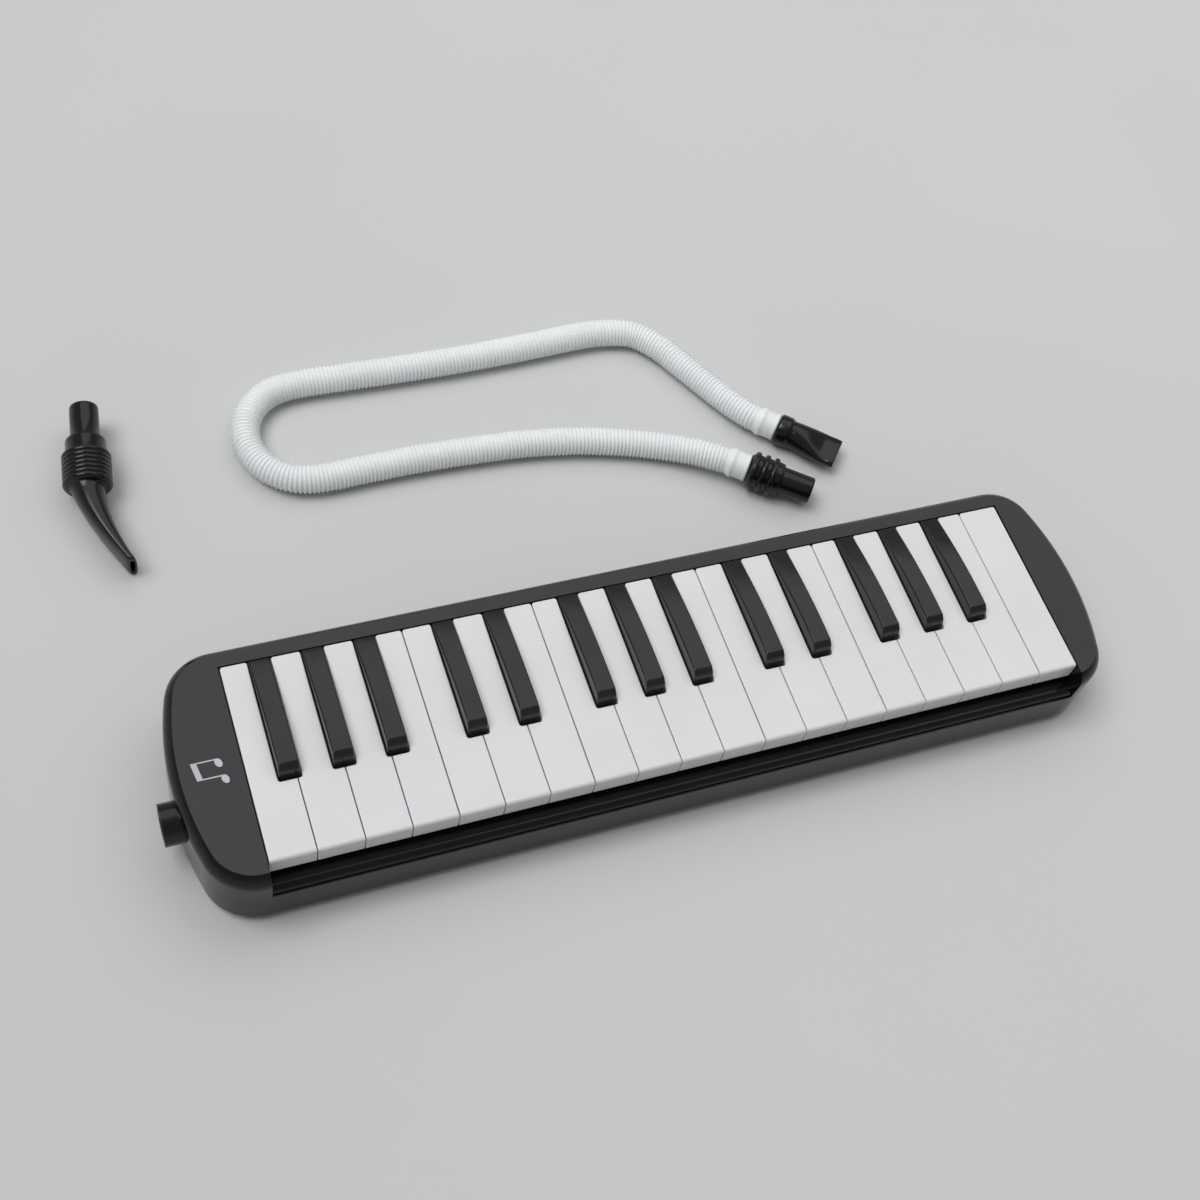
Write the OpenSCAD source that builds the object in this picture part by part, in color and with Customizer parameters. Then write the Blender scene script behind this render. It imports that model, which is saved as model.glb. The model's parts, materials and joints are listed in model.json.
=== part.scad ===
// Melodica: a 32-key blown keyboard, F3 to C6, with its blow hose and its short mouthpiece.
// +X runs along the keyboard to the treble end, +Y to the back and +Z up, in millimetres.
// The origin is the middle of the flat underside, on the surface that it rests on.

/* [Body] */
// Length of the body between its bulged ends
body_l = 425; // [424:0.5:432]
// Depth of the body from front to back
body_w = 108; // [108:0.5:114]
// Height of the cover's top face, level with the white keys
body_h = 40; // [40:0.5:46]
// Height of the seam between the lower shell and the top cover
seam_z = 23; // [23:0.1:23.5]
// Wall thickness of both shells
wall = 2.5; // [2:0.1:2.6]
// Thickness of the cover's top
skin = 2.2; // [1.8:0.1:2.4]
// Corner radius of the body at the bass end
bass_corner = 22.5; // [19.7:0.7:23.9]
// Corner radius of the body at the treble end
treble_corner = 20.4; // [19:0.7:22.5]
// Radius of the shoulder between the sides and the top face
shoulder_r = 8; // [6:0.5:8]
// Radius of the lower edge
foot_r = 6; // [5:0.5:7]
// Height of the ledge in front of the white keys
ledge_z = 26.7; // [26.3:0.1:26.8]

/* [Keyboard] */
// Distance between neighbouring white keys
pitch = 19.6; // [19.3:0.05:19.7]
// Gap between neighbouring white keys
key_gap = 0.5; // [0.4:0.05:0.8]
// Length of a white key
white_len = 89.6; // [89:0.1:90]
// Height of a white key's front face
white_h = 9.6; // [9.3:0.1:9.7]
// Visible length of a black key
black_len = 55.2; // [54:0.1:58]
// Height of a black key above the white keys
black_rise = 5.9; // [5:0.1:8]
// Width of a black key at its base
black_base = 9.3; // [8.8:0.1:9.4]
// Width of a black key's top face
black_top = 8.5; // [7:0.1:9]
// Width of the slot between two white keys that a black key runs in
slot_w = 10; // [9.8:0.1:10.2]
// Wall thickness of the hollow keys
key_wall = 1.5; // [1.2:0.1:1.8]

/* [Key action] */
// Distance of the key rod behind the middle of the body
rod_y = 18; // [17.5:0.1:18.5]
// Height of the key rod
rod_z = 28; // [28:0.1:28.2]
// Radius of the key rod
rod_r = 1.25; // [1:0.05:1.3]
// Running clearance around the rod
rod_fit = 0.05; // [0.03:0.01:0.08]
// Thickness of a key pad
pad_t = 2; // [1.8:0.1:2]

/* [Air chamber] */
// Length of the longest reed, at the bass end
long_reed = 28; // [24:0.5:28]
// Length of the shortest reed, at the treble end
short_reed = 12; // [10:0.5:14]
// Thickness of the reed plates
reed_plate_t = 1.2; // [1:0.1:1.2]
// Wall thickness of the chamber cover
chamber_wall = 2; // [1.6:0.1:2]

/* [Blow socket] */
// Outer radius of the socket
socket_r = 9; // [8.5:0.1:9.5]
// Radius of the hole that the hose or the mouthpiece plugs into
socket_bore = 6.8; // [6.7:0.05:7]
// Depth of that hole
socket_depth = 12; // [11:0.5:12]

/* [Drain valve] */
// Radius of the drain button
button_r = 4; // [3.5:0.1:4]
// Travel of the drain button
button_travel = 2.5; // [2:0.1:3]

/* [Hose] */
// Outer radius of the corrugated hose
hose_r = 7; // [6.5:0.1:7]
// Radius of the plugs on the hose connector and on the short mouthpiece
plug_r = 6.7; // [6.6:0.05:6.75]

/* [Hidden] */
KEYS = 32;
NOTES = ["c", "c_sharp", "d", "d_sharp", "e", "f", "f_sharp", "g", "g_sharp", "a", "a_sharp", "b"];
FIRST_NOTE = 5;
FIRST_OCTAVE = 3;
KEY_NODES = [for (n = [0:KEYS - 1]) str("key_", NOTES[note(n)], octave(n))];

$fn = 48;
EPS = 0.01;
shoulder_turn = 60;
// Direction from the centre of an end's wide arc to the centre of its corner's arc
LEAN = [24, 7] / 25;

// Colours
GLOSS_BLACK = [0.07, 0.07, 0.08];
TOP_GREY = [0.25, 0.24, 0.25];
KEY_WHITE = [0.93, 0.93, 0.93];
HOSE_WHITE = [0.9, 0.92, 0.93];
INNER_BLACK = [0.13, 0.13, 0.14];
STEEL = [0.7, 0.71, 0.73];
BRASS = [0.8, 0.65, 0.3];
RUBBER = [0.2, 0.2, 0.21];
FELT = [0.12, 0.11, 0.12];

// The keyboard's place in the body: the bass cap is wider than the treble cap
keys_x0 = -182.9;
white_count = 19;
keys_x1 = keys_x0 + white_count * pitch;
opening_gap = 0.4;
key_front = -45.9;
key_back = key_front + white_len;
key_bottom = body_h - white_h;
black_front = key_back - black_len;
slot_front = black_front - 1.5;
rail_front = key_back + 0.5;
// The front of a black key leans back, then slopes, and its top is an arc that falls to the rear
black_lean = 0.8;
black_bevel = [2.2, 2.1];
black_arc = [-5, 222];
black_hollow_y = 5;

// Heights inside the body
chassis_z = 21;
plate_top = 23;
deck_top = 24.5;
support_top = 29.9;
gasket_t = 1;
gasket_z = chassis_z - gasket_t;
reed_plate_z = gasket_z - reed_plate_t;
chamber_floor = 5;
pad_z = deck_top;

// Plan of the inside, as [low, high] along X or Y
chassis_x = [-189, 191];
chassis_y = [-43, 50];
deck_y = [24, 50];
ear_y = [22, 36];
ear_x = 203;
chamber_x = [-190, 190];
chamber_y = [3, 50];
plates_x = [-187, 187];
plates_y = [5.5, 47.5];
slot_y = [35.5, 44.5];
pad_y = [33.5, 46.5];
pad_w = 7.5;
glue_t = 0.05;
rivet_y = 46;
reed_root = 44;
comb_y = [-6, 2];
comb_t = 0.4;
comb_tip = 10;
front_felt = [-41, -34, 27.3];
middle_felt = [-13, -8, 28.4];
felt_t = 2;

// Screw places
case_screw_at = [[-197, -36], [-195, 43], [196, -38], [195.5, 42.5]];
chassis_screw_at = [[-160, -26], [-80, -26], [0, -26], [80, -26], [160, -26], [-197, 28], [197, 28]];
chamber_screw_at = [[-150, -1], [-50, -1], [50, -1], [150, -1]];
reed_screw_after = [1, 7, 13, 17, 23, 29];
reed_screw_y = [9, 45];

// Blow socket and duct
socket_y = -12.6;
socket_z = seam_z;
socket_tip = -219;
socket_flange = [-207.6, -206];
duct_x = [-204, -190];
duct_y = [-24, 20];
duct_z = [7, 32];
duct_wall = 1.6;
air_port_y = [7, 18];
air_port_z = [9, 18];
passage_r = 5;
seal_r = 1;

// Drain valve
drain_y = 10;
drain_z = 12.5;
bush_x = [196, 212.3];
bush_r = 6;
stem_r = 1.5;
button_x = [205, body_l / 2 + button_travel + 0.5];
valve_x = [185, 186.6];
drain_hole_r = 3.2;

// Hose: its route from the connector to the mouthpiece, along the surface it lies on
route = [
    [93, 109, 10], [83, 116.5, 10], [72, 124, 9.1], [60, 130.5, 7.8], [47, 136, 7.1],
    [33, 140.5, 7], [12, 145.5, 7], [-13, 149, 7], [-40, 150.5, 7], [-65, 151, 7],
    [-90, 150.5, 7], [-113, 150, 7], [-127, 153.8, 7], [-137.2, 164, 7], [-141, 178, 7],
    [-137.2, 192, 7], [-127, 202.2, 7], [-113, 206, 7], [-85, 206, 7], [-55, 205.5, 7],
    [-25, 205.5, 7], [5, 206.5, 7], [35, 208, 7], [50, 207.5, 7], [65, 203.5, 7],
    [76, 192.5, 7], [83.5, 180, 7], [92, 165, 7], [100, 151, 7.4], [108, 139.5, 8],
    [118, 130.5, 8]
];
hose_sides = 12;
connector_turn = -37;
mouthpiece_turn = -42;
connector_sleeve = [8.4, 17];
connector_ribs = [3, 9.5, 2.4];
plug_len = 16;
tip_len = 33;

// Short mouthpiece: how far its plug, step, collar and bill reach, and its air passage
short_at = [-210.5, 207];
short_turn = -98;
short_plug = 19.5;
short_step = [9.25, 8];
short_collar = [11.2, 16];
bill_len = 42.5;
bill_bend = 17.5;
bill_curl = 1.5;
bill_root = 7.8;
bill_tip = [2.1, 8];
breath_r = 4.2;
bill_bore = 3.4;
bill_slot = [0.9, 5.4];

// ---- Which key is which -------------------------------------------------------------------

function note(n) = (n + FIRST_NOTE) % 12;
function octave(n) = FIRST_OCTAVE + floor((n + FIRST_NOTE) / 12);
function is_black(n) = n >= 0 && n < KEYS && len(search(note(n), [1, 3, 6, 8, 10])) > 0;
function whites_below(n) = n <= 0 ? 0 : whites_below(n - 1) + (is_black(n - 1) ? 0 : 1);

// A black key stands off the middle of its gap: by group of two or of three
function black_shift(n) = lookup(note(n), [[1, -0.09], [3, 0.09], [6, -0.15], [8, 0], [10, 0.15]]);
function white_x(n) = keys_x0 + whites_below(n) * pitch;
function black_x(n) = keys_x0 + (whites_below(n) + black_shift(n)) * pitch;

// The narrow part of a white key, between the slots on its two sides
function tail_lo(n) = is_black(n - 1) ? black_x(n - 1) + slot_w / 2 : white_x(n) + key_gap / 2;
function tail_hi(n) = is_black(n + 1) ? black_x(n + 1) - slot_w / 2 : white_x(n) + pitch - key_gap / 2;

// The middle of a key's tail, over its pad, its air slot and its reed
function key_x(n) = is_black(n) ? black_x(n) : (tail_lo(n) + tail_hi(n)) / 2;
function between(n) = (key_x(n) + key_x(n + 1)) / 2;
function reed_len(n) = long_reed - (long_reed - short_reed) * n / (KEYS - 1);

// The rod's supports stand where two white keys meet with no black key between them
support_x = concat(
    [keys_x0 + 1],
    [for (i = [4, 7, 11, 14, 18]) keys_x0 + i * pitch],
    [keys_x1 - 1]
);

// ---- Shapes that repeat --------------------------------------------------------------------

module block(lo, hi) {
    translate(lo) cube(hi - lo);
}

module rod_x(r, x, y, z) {
    translate([x[0], y, z]) rotate([0, 90, 0]) cylinder(r = r, h = x[1] - x[0]);
}

// A profile drawn in Y and Z, drawn out along X
module along_x(x) {
    translate([x[0], 0, 0]) rotate([90, 0, 90]) linear_extrude(x[1] - x[0]) children();
}

// A pan-head screw whose head starts at head_z; it points up or down
module screw(at, head_z, len, up, r, head_r, head_t) {
    translate([at[0], at[1], head_z]) mirror([0, 0, up ? 0 : 1]) {
        cylinder(r = head_r, h = head_t);
        cylinder(r = r, h = len);
    }
}

module holes(places, r, z) {
    for (p = places) translate([p[0], p[1], z[0]]) cylinder(r = r, h = z[1] - z[0], $fn = 24);
}

// ---- The body's outline --------------------------------------------------------------------

function corner_r(side) = side < 0 ? bass_corner : treble_corner;
function bulge_r(side) = corner_r(side) + (body_w / 2 - corner_r(side)) / LEAN[1];
function end_centre(side) = [
    side * (body_l / 2 - bulge_r(side) + (bulge_r(side) - corner_r(side)) * LEAN[0]),
    body_w / 2 - corner_r(side)
];

// The rim of the body in section: X is the distance from the outline, negative inwards
module rim(inset, z0, z1, reach) {
    rise = shoulder_r * sin(shoulder_turn);
    intersection() {
        translate([-reach, z0]) square([reach, z1 - z0]);
        union() {
            translate([-reach, foot_r]) square([reach - inset, body_h - rise - foot_r]);
            translate([-reach, inset]) square([reach - foot_r, foot_r]);
            translate([-reach, foot_r]) square([reach - shoulder_r, body_h]);
            translate([-foot_r, foot_r]) circle(foot_r - inset);
            translate([-shoulder_r, body_h - rise]) circle(shoulder_r - inset);
        }
    }
}

// A piece of the rim turned about a centre, kept between two directions
module turned_rim(centre, r, from, to, inset, z0, z1) {
    far = 2 * r;
    intersection() {
        translate(centre) rotate_extrude() translate([r, 0]) rim(inset, z0, z1, r);
        linear_extrude(body_h) polygon([
            centre, centre + far * from, centre + far * (from + to), centre + far * to
        ]);
    }
}

// The body's shape from height z0 to z1, set in from the outline. Each end is one wide arc that
// runs into its two corners: the centres of both lie on one line, along lean.
module filled(inset, z0, z1) {
    for (end = [-1, 1]) {
        along_x([end_centre(-1)[0], end_centre(1)[0]]) mirror([end < 0 ? 1 : 0, 0])
            translate([body_w / 2, 0]) rim(inset, z0, z1, body_w / 2);
        for (side = [-1, 1]) {
            lean = [side * LEAN[0], end * LEAN[1]];
            centre = [end_centre(side)[0], end * end_centre(side)[1]];
            turned_rim(centre, corner_r(side), lean, [0, end], inset, z0, z1, $fn = 96);
        }
    }
    for (side = [-1, 1])
        turned_rim(
            [side * (body_l / 2 - bulge_r(side)), 0], bulge_r(side),
            [side * LEAN[0], LEAN[1]], [side * LEAN[0], -LEAN[1]], inset, z0, z1, $fn = 240
        );
}

module key_opening() {
    block(
        [keys_x0 - opening_gap, -body_w, seam_z - 1],
        [keys_x1 + opening_gap, rail_front, body_h + 1]
    );
}

// ---- Shells --------------------------------------------------------------------------------

module front_ledge() {
    front = 1 - body_w / 2;
    back = -42;
    round = 3;
    along_x([keys_x0 - opening_gap + 0.1, keys_x1 + opening_gap - 0.1]) difference() {
        union() {
            translate([front, seam_z - 1]) square([round, ledge_z - round - seam_z + 1]);
            translate([front + round, ledge_z - 2 * round]) square([back - front - round, 2 * round]);
            translate([front + round, ledge_z - round]) circle(round);
        }
        translate([front + wall, 0]) square([back - front, ledge_z - 2]);
    }
}

module lower_shell() {
    color(GLOSS_BLACK) difference() {
        union() {
            difference() {
                filled(0, 0, seam_z);
                filled(wall, wall, seam_z + 1);
            }
            front_ledge();
            for (p = chassis_screw_at)
                translate([p[0], p[1], wall / 2]) cylinder(r = 4, h = chassis_z - wall / 2);
            for (p = case_screw_at)
                translate([p[0], p[1], wall / 2]) cylinder(r = 4, h = seam_z - wall / 2);
        }
        rod_x(socket_r + 0.05, [-body_l / 2 - 5, socket_flange[0]], socket_y, socket_z);
        rod_x(bush_r + 0.05, [bush_x[0] + 2, body_l / 2 + 5], drain_y, drain_z);
        holes(chassis_screw_at, 1.35, [8, chassis_z + 1]);
        holes(case_screw_at, 1.5, [-1, seam_z + 1]);
        holes(case_screw_at, 3.2, [-1, 3]);
    }
}

module cheek(x) {
    intersection() {
        filled(0, seam_z, body_h);
        block([x[0], -body_w, seam_z], [x[1], rail_front + 1, body_h]);
    }
}

module top_cover() {
    cheek_t = 2.2;
    color(TOP_GREY) difference() {
        union() {
            difference() {
                filled(0, seam_z, body_h);
                filled(wall, seam_z - 1, body_h - skin);
            }
            cheek([keys_x0 - opening_gap - cheek_t, keys_x0]);
            cheek([keys_x1, keys_x1 + opening_gap + cheek_t]);
            for (p = case_screw_at)
                translate([p[0], p[1], seam_z]) cylinder(r = 4, h = body_h - seam_z - skin / 2);
        }
        key_opening();
        rod_x(socket_r + 0.05, [-body_l / 2 - 5, socket_flange[0]], socket_y, socket_z);
        holes(case_screw_at, 1.45, [seam_z - 1, 34]);
    }
}

// ---- Key action ----------------------------------------------------------------------------

module chassis() {
    color(INNER_BLACK) difference() {
        union() {
            block([chassis_x[0], chassis_y[0], chassis_z], [chassis_x[1], chassis_y[1], plate_top]);
            block([keys_x0 - 0.2, deck_y[0], chassis_z], [keys_x1 + 0.2, deck_y[1], deck_top]);
            for (f = [front_felt, middle_felt])
                block([keys_x0, f[0], chassis_z], [keys_x1, f[1], f[2] - felt_t]);
            for (x = support_x)
                block([x - 0.9, rod_y - 3.5, chassis_z], [x + 0.9, rod_y + 3.5, support_top]);
            block([-ear_x, ear_y[0], chassis_z], [chassis_x[0] + 1, ear_y[1], plate_top]);
            block([chassis_x[1] - 1, ear_y[0], chassis_z], [ear_x, ear_y[1], plate_top]);
            for (n = [2:6:KEYS - 2])
                translate([between(n), comb_y[0] + 3, chassis_z]) cylinder(r = 1.4, h = 3.4);
        }
        for (n = [0:KEYS - 1])
            block([key_x(n) - 2.6, slot_y[0], 0], [key_x(n) + 2.6, slot_y[1], body_h]);
        rod_x(rod_r + 0.02, [keys_x0 - 1, keys_x1 + 1], rod_y, rod_z);
        holes(chassis_screw_at, 1.5, [0, body_h]);
        holes(chamber_screw_at, 1.25, [0, plate_top - 0.4]);
        for (n = reed_screw_after, y = reed_screw_y)
            holes([[between(n), y]], 1.05, [0, plate_top - 0.4]);
    }
}

module key_rod() {
    color(STEEL) rod_x(rod_r, [keys_x0 - 0.2, keys_x1 + 0.2], rod_y, rod_z);
}

// One stamped strip with a raised finger under each key
module key_springs() {
    z = plate_top;
    color(STEEL) difference() {
        union() {
            block([keys_x0 + 1, comb_y[0], z], [keys_x1 - 1, comb_y[1], z + comb_t]);
            for (n = [0:KEYS - 1])
                along_x([key_x(n) - 1.5, key_x(n) + 1.5])
                    polygon([
                        [comb_y[1] - 1, z], [comb_y[1], z], [comb_tip, z + 2.6],
                        [comb_tip, z + 3], [comb_y[1], z + comb_t], [comb_y[1] - 1, z + comb_t]
                    ]);
        }
        for (n = [2:6:KEYS - 2]) holes([[between(n), comb_y[0] + 3]], 1.45, [z - 1, z + 1]);
    }
}

module stop_felts() {
    color(FELT) for (f = [front_felt, middle_felt])
        block([keys_x0, f[0], f[2] - felt_t], [keys_x1, f[1], f[2]]);
}

// What every key has below its cap: hub on the rod, spring lug, tail arm
module key_lever(n) {
    c = key_x(n);
    roof = body_h - 1;
    block([c - 3, rod_y - 3.5, rod_z - 3.5], [c + 3, rod_y + 3.5, roof]);
    block([c - 1.5, comb_tip - 3, plate_top + 3.05], [c + 1.5, comb_tip, roof]);
    block([c - 3.5, pad_y[0] - 0.5, pad_z + pad_t], [c + 3.5, key_back - 2, roof]);
    block([c - 3.5, pad_y[0] - 0.5, pad_z + pad_t], [c + 3.5, pad_y[1] + 0.5, key_bottom + 1]);
}

module key_pad(n) {
    c = key_x(n);
    top = pad_z + pad_t - glue_t;
    color(RUBBER) block([c - pad_w / 2, pad_y[0], pad_z], [c + pad_w / 2, pad_y[1], top]);
}

module rod_bore(n) {
    rod_x(rod_r + rod_fit, [key_x(n) - 8, key_x(n) + 8], rod_y, rod_z);
}

module white_key(n) {
    x0 = white_x(n) + key_gap / 2;
    x1 = x0 + pitch - key_gap;
    w = key_wall;
    inner_top = body_h - 2;
    color(KEY_WHITE) difference() {
        union() {
            difference() {
                union() {
                    block([x0, key_front, key_bottom], [x1, slot_front, body_h]);
                    block([tail_lo(n), slot_front - 1, key_bottom], [tail_hi(n), key_back, body_h]);
                }
                block([x0 + w, key_front + w, 0], [x1 - w, slot_front - w, inner_top]);
                block([tail_lo(n) + w, slot_front - 2 * w, 0], [tail_hi(n) - w, key_back - w, inner_top]);
            }
            key_lever(n);
        }
        rod_bore(n);
    }
    key_pad(n);
}

module black_key(n) {
    c = key_x(n);
    w = key_wall;
    top = body_h + black_rise;
    edge_y = black_front + black_lean;
    color(GLOSS_BLACK) difference() {
        union() {
            difference() {
                intersection() {
                    along_x([c - black_base, c + black_base])
                        polygon([
                            [black_front, key_bottom], [black_front, body_h],
                            [edge_y, top - black_bevel[1]], [edge_y + black_bevel[0], top],
                            [key_back, top], [key_back, key_bottom]
                        ]);
                    translate([c, key_back + 1, 0]) rotate([90, 0, 0]) linear_extrude(black_len + 2)
                        polygon([
                            [-black_base / 2, 0], [-black_base / 2, body_h], [-black_top / 2, top],
                            [black_top / 2, top], [black_base / 2, body_h], [black_base / 2, 0]
                        ]);
                    rod_x(
                        black_arc[1], [c - black_base, c + black_base],
                        black_arc[0], top - black_arc[1], $fn = 360
                    );
                }
                block(
                    [c - black_base / 2 + w, black_front + w, 0],
                    [c + black_base / 2 - w, key_back - w, body_h - 2]
                );
                block(
                    [c - black_top / 2 + w, edge_y + w, 0],
                    [c + black_top / 2 - w, black_hollow_y, top - black_bevel[1] - w]
                );
            }
            key_lever(n);
        }
        rod_bore(n);
    }
    key_pad(n);
}

module key(n) {
    if (is_black(n)) black_key(n);
    else white_key(n);
}

// ---- Reeds and air chamber -----------------------------------------------------------------

module reed_gasket() {
    color(RUBBER) difference() {
        block([plates_x[0], plates_y[0], gasket_z], [plates_x[1], plates_y[1], chassis_z]);
        for (n = [0:KEYS - 1])
            block([key_x(n) - 3, reed_root - long_reed - 1, 0], [key_x(n) + 3, slot_y[1] - 0.2, body_h]);
        for (n = reed_screw_after, y = reed_screw_y) holes([[between(n), y]], 1.05, [0, body_h]);
    }
}

module reed_plate(first, last) {
    x0 = first == 0 ? plates_x[0] : between(first - 1) + 0.25;
    x1 = last == KEYS - 1 ? plates_x[1] : between(last) - 0.25;
    color(BRASS) difference() {
        block([x0, plates_y[0], reed_plate_z], [x1, plates_y[1], gasket_z]);
        for (n = [first:last]) {
            block([key_x(n) - 1.3, reed_root - reed_len(n), 0], [key_x(n) + 1.3, reed_root, body_h]);
            holes([[key_x(n), rivet_y]], 0.85, [0, body_h]);
        }
        for (n = reed_screw_after, y = reed_screw_y) holes([[between(n), y]], 1.05, [0, body_h]);
    }
}

module bass_reed_plate() {
    reed_plate(0, 15);
}

module treble_reed_plate() {
    reed_plate(16, KEYS - 1);
}

module reeds() {
    color(BRASS) for (n = [0:KEYS - 1]) {
        c = key_x(n);
        block(
            [c - 1.1, reed_root - reed_len(n) + 0.3, reed_plate_z - 0.3],
            [c + 1.1, rivet_y + 1, reed_plate_z]
        );
        translate([c, rivet_y, reed_plate_z - 0.7]) cylinder(r = 0.8, h = 0.7 + reed_plate_t, $fn = 24);
    }
}

module reed_plate_screws() {
    color(STEEL) for (n = reed_screw_after, y = reed_screw_y)
        screw([between(n), y], reed_plate_z - 1, 4.8, true, 1, 1.8, 1, $fn = 24);
}

module chamber_cover() {
    w = chamber_wall;
    color(INNER_BLACK) difference() {
        union() {
            block([chamber_x[0], chamber_y[0], chamber_floor], [chamber_x[1], chamber_y[1], gasket_z]);
            for (p = chamber_screw_at)
                block([p[0] - 4, p[1] - 4, gasket_z - 2], [p[0] + 4, chamber_y[0] + 1, gasket_z]);
        }
        block(
            [chamber_x[0] + w, chamber_y[0] + w, chamber_floor + w],
            [chamber_x[1] - w, chamber_y[1] - w, gasket_z + 1]
        );
        block(
            [chamber_x[0] - 1, air_port_y[0], air_port_z[0]],
            [chamber_x[0] + w + 1, air_port_y[1], air_port_z[1]]
        );
        rod_x(drain_hole_r, [chamber_x[1] - w - 1, chamber_x[1] + 1], drain_y, drain_z);
        holes(chamber_screw_at, 1.3, [0, body_h]);
    }
}

module chamber_gasket() {
    w = chamber_wall;
    color(RUBBER) difference() {
        block([chamber_x[0] + 1, chamber_y[0], gasket_z], [chamber_x[1], chamber_y[1], chassis_z]);
        block([plates_x[0] - 0.5, chamber_y[0] + w, 0], [plates_x[1] + 0.5, chamber_y[1] - w, body_h]);
    }
}

module chamber_screws() {
    color(STEEL) for (p = chamber_screw_at)
        screw(p, gasket_z - 3.5, 6, true, 1.2, 2.4, 1.5, $fn = 24);
}

module chassis_screws() {
    color(STEEL) for (p = chassis_screw_at)
        screw(p, plate_top + 1.6, 15, false, 1.3, 2.8, 1.6, $fn = 24);
}

module case_screws() {
    color(STEEL) for (p = case_screw_at)
        screw(p, 1, 30, true, 1.4, 3, 2, $fn = 24);
}

// ---- Blow socket and duct ------------------------------------------------------------------

module blow_socket() {
    inner_end = duct_x[0] + 3;
    color(GLOSS_BLACK) difference() {
        union() {
            rod_x(socket_r, [socket_tip, socket_flange[0] + 1], socket_y, socket_z);
            rod_x(socket_r + 2, socket_flange, socket_y, socket_z);
            rod_x(socket_r - 1.5, [socket_flange[0], inner_end], socket_y, socket_z);
        }
        rod_x(socket_bore, [socket_tip - 1, socket_tip + socket_depth], socket_y, socket_z);
        rod_x(passage_r, [socket_tip, inner_end + 1], socket_y, socket_z);
    }
}

module socket_seal() {
    color(RUBBER) translate([(socket_flange[1] + duct_x[0]) / 2, socket_y, socket_z])
        rotate([0, 90, 0]) rotate_extrude() translate([socket_r - 1.5 + seal_r, 0]) circle(seal_r);
}

module blow_duct() {
    w = duct_wall;
    color(INNER_BLACK) difference() {
        block([duct_x[0], duct_y[0], duct_z[0]], [duct_x[1], duct_y[1], duct_z[1]]);
        block(
            [duct_x[0] + w, duct_y[0] + w, duct_z[0] + w],
            [duct_x[1] - w, duct_y[1] - w, duct_z[1] - w]
        );
        rod_x(socket_r - 1.45, [duct_x[0] - 1, duct_x[0] + w + 1], socket_y, socket_z);
        block(
            [duct_x[1] - w - 1, air_port_y[0], air_port_z[0]],
            [duct_x[1] + 1, air_port_y[1], air_port_z[1]]
        );
    }
}

// ---- Drain valve ---------------------------------------------------------------------------

module drain_bush() {
    inner = 1.5;
    color(INNER_BLACK) difference() {
        rod_x(bush_r, bush_x, drain_y, drain_z);
        rod_x(button_r + 0.08, [bush_x[0] + inner, bush_x[1] + 1], drain_y, drain_z);
        rod_x(stem_r + 0.06, [bush_x[0] - 1, bush_x[1]], drain_y, drain_z);
    }
}

module drain_button() {
    color(GLOSS_BLACK) {
        rod_x(button_r, button_x, drain_y, drain_z);
        rod_x(stem_r, [valve_x[0], button_x[0] + 1], drain_y, drain_z);
        rod_x(button_r + 0.5, valve_x, drain_y, drain_z);
    }
}

module drain_seal() {
    color(RUBBER) difference() {
        rod_x(button_r + 0.8, [valve_x[1], chamber_x[1] - chamber_wall], drain_y, drain_z);
        rod_x(stem_r, [valve_x[1] - 1, chamber_x[1]], drain_y, drain_z);
    }
}

function spring_point(t, turns, x, r) = [
    x[0] + (x[1] - x[0]) * t,
    r * cos(360 * turns * t),
    r * sin(360 * turns * t)
];

module drain_spring() {
    turns = 5;
    steps = 70;
    wire = 0.35;
    x = [bush_x[0] + 2, button_x[0] - 0.5];
    color(STEEL) translate([0, drain_y, drain_z])
        tube([for (i = [0:steps]) spring_point(i / steps, turns, x, 2.7)], wire, 6);
}

// ---- Hose and mouthpieces ------------------------------------------------------------------

function unit(v) = v / norm(v);
function heading(p, i) = unit(p[min(i + 1, len(p) - 1)] - p[max(i - 1, 0)]);
function across(t) = unit(cross(abs(t[2]) > 0.9 ? [1, 0, 0] : [0, 0, 1], t));

// A closed solid through a list of rings, all with the same number of points
module skin(rings) {
    last = len(rings) - 1;
    sides = len(rings[0]);
    around = [
        for (i = [0:last - 1], j = [0:sides - 1])
            let (k = (j + 1) % sides)
            [i * sides + j, (i + 1) * sides + j, (i + 1) * sides + k, i * sides + k]
    ];
    ends = [[for (j = [0:sides - 1]) j], [for (j = [sides - 1:-1:0]) last * sides + j]];
    polyhedron(
        points = [for (ring = rings) for (point = ring) point],
        faces = concat(around, ends),
        convexity = 6
    );
}

// An oval ring round a point: u and v are its half-axes
function ring(centre, u, v, sides) = [
    for (j = [0:sides - 1]) centre + u * cos(360 * j / sides) + v * sin(360 * j / sides)
];

// A round tube swept along a list of points
module tube(p, r, sides) {
    skin([
        for (i = [0:len(p) - 1])
            let (t = heading(p, i), u = across(t), v = cross(t, u))
            ring(p[i], r * u, r * v, sides)
    ]);
}

module hose() {
    color(HOSE_WHITE) tube(route, hose_r, hose_sides);
}

module hose_connector() {
    r = connector_sleeve[0];
    sleeve = [0, connector_sleeve[1]];
    color(GLOSS_BLACK) translate(route[0]) rotate([0, 0, connector_turn]) difference() {
        union() {
            rod_x(r, sleeve, 0, 0);
            for (i = [0:connector_ribs[0] - 1]) {
                x = 2.4 + i * 2 * connector_ribs[2];
                rod_x(connector_ribs[1], [x, x + connector_ribs[2]], 0, 0);
            }
            rod_x(plug_r, [sleeve[1] - 1, sleeve[1] + plug_len], 0, 0);
        }
        rod_x(4.2, [2, sleeve[1] + plug_len + 1], 0, 0);
    }
}

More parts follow.
